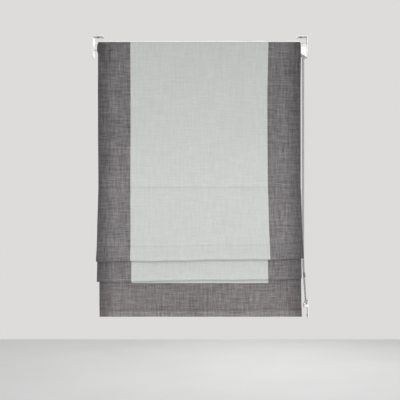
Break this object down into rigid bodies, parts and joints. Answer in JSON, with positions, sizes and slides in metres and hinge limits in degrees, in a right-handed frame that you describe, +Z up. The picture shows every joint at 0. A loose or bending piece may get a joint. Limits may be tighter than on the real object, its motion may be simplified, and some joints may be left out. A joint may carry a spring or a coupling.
{
  "type": "roman blind",
  "caption": "Two-tone cloth roman blind on a white headrail, partly raised into pleats, with a bead-chain drive, cord spools, pleat rods and ceiling brackets.",
  "frame": {"origin": "midway between the two ceiling screw holes, on the brackets' upper face, which meets the ceiling of the window recess", "axes": "+X to the right as seen from the room, along the headrail; +Y away from the room, toward the window; +Z up"},
  "size_m": [0.642, 0.0884, 0.842],
  "materials": {
    "pale_cloth": "matt woven cloth with slubs",
    "dark_cloth": "matt woven cloth with slubs",
    "lining_cloth": "matt plain weave",
    "tape_cloth": "woven tape",
    "lift_cord": "braided cord",
    "rail_metal": "white powder coat, satin",
    "bracket_metal": "white paint, satin",
    "white_plastic": "moulded, satin",
    "chain_plastic": "moulded, glossy",
    "grey_plastic": "moulded, matt",
    "shaft_metal": "mill finish",
    "glass_fibre": "pultruded, matt",
    "bar_metal": "mill finish",
    "axle_metal": "zinc plated"
  },
  "bodies": {
    "root": {"bead_chain": "chain_plastic", "centre_cord_cassette": "white_plastic", "chain_connector": "grey_plastic", "drive_cover": "white_plastic", "drive_housing": "white_plastic", "headrail": "rail_metal", "hook_strip": "tape_cloth", "left_bracket": "bracket_metal", "left_cord_cassette": "white_plastic", "left_end_cap": "white_plastic", "lift_cords_upper": "lift_cord", "loop_strip": "tape_cloth", "right_bracket": "bracket_metal", "right_cord_cassette": "white_plastic", "tensioner_axle": "axle_metal", "tensioner_body": "white_plastic", "upper_centre_panel": "pale_cloth", "upper_left_border": "dark_cloth", "upper_lining": "lining_cloth", "upper_right_border": "dark_cloth"},
    "shaft": {"drive_shaft": "shaft_metal", "chain_sprocket": "grey_plastic", "left_cord_spool": "grey_plastic", "centre_cord_spool": "grey_plastic", "right_cord_spool": "grey_plastic"},
    "pulley": {"tensioner_pulley": "white_plastic"},
    "rod_1_group": {"rod_1": "glass_fibre", "rod_pocket_1": "tape_cloth", "cord_rings_1": "white_plastic", "first_fold_centre_panel": "pale_cloth", "first_fold_left_border": "dark_cloth", "first_fold_right_border": "dark_cloth", "first_fold_lining": "lining_cloth", "lift_cords_middle": "lift_cord"},
    "rod_2_group": {"rod_2": "glass_fibre", "rod_pocket_2": "tape_cloth", "cord_rings_2": "white_plastic", "second_fold_centre_panel": "pale_cloth", "second_fold_left_border": "dark_cloth", "second_fold_right_border": "dark_cloth", "second_fold_lining": "lining_cloth", "lift_cords_lower": "lift_cord"},
    "foot": {"rod_3": "glass_fibre", "rod_pocket_3": "tape_cloth", "cord_rings_3": "white_plastic", "lower_centre_panel": "pale_cloth", "lower_left_border": "dark_cloth", "lower_right_border": "dark_cloth", "lower_lining": "lining_cloth", "bottom_border": "dark_cloth", "bottom_bar": "bar_metal"}
  },
  "joints": [
    {"name": "upper_lift", "type": "slide", "parent": "root", "child": "rod_1_group", "axis": [0, 0, 1], "range_m": [0, 0.36], "deforming": ["upper_centre_panel", "upper_left_border", "upper_right_border", "upper_lining", "lift_cords_upper"]},
    {"name": "middle_lift", "type": "slide", "parent": "rod_1_group", "child": "rod_2_group", "axis": [0, 0, 1], "range_m": [-0.25, 0.065], "deforming": ["first_fold_centre_panel", "first_fold_left_border", "first_fold_right_border", "first_fold_lining", "lift_cords_middle"]},
    {"name": "lower_lift", "type": "slide", "parent": "rod_2_group", "child": "foot", "axis": [0, 0, 1], "range_m": [-0.27, 0], "deforming": ["second_fold_centre_panel", "second_fold_left_border", "second_fold_right_border", "second_fold_lining", "lift_cords_lower"]},
    {"name": "shaft_turn", "type": "hinge", "parent": "root", "child": "shaft", "pos_m": [0, 0, -0.036], "axis": [1, 0, 0], "range_deg": [-1920, 507]},
    {"name": "pulley_turn", "type": "hinge", "parent": "root", "child": "pulley", "pos_m": [0.3185, 0, -0.798], "axis": [1, 0, 0], "range_deg": [-2974, 781]}
  ],
  "couplings": [
    {"joint": "shaft_turn", "follows": "middle_lift", "rad_per_m": 133.33},
    {"joint": "pulley_turn", "follows": "middle_lift", "rad_per_m": 206.9}
  ]
}
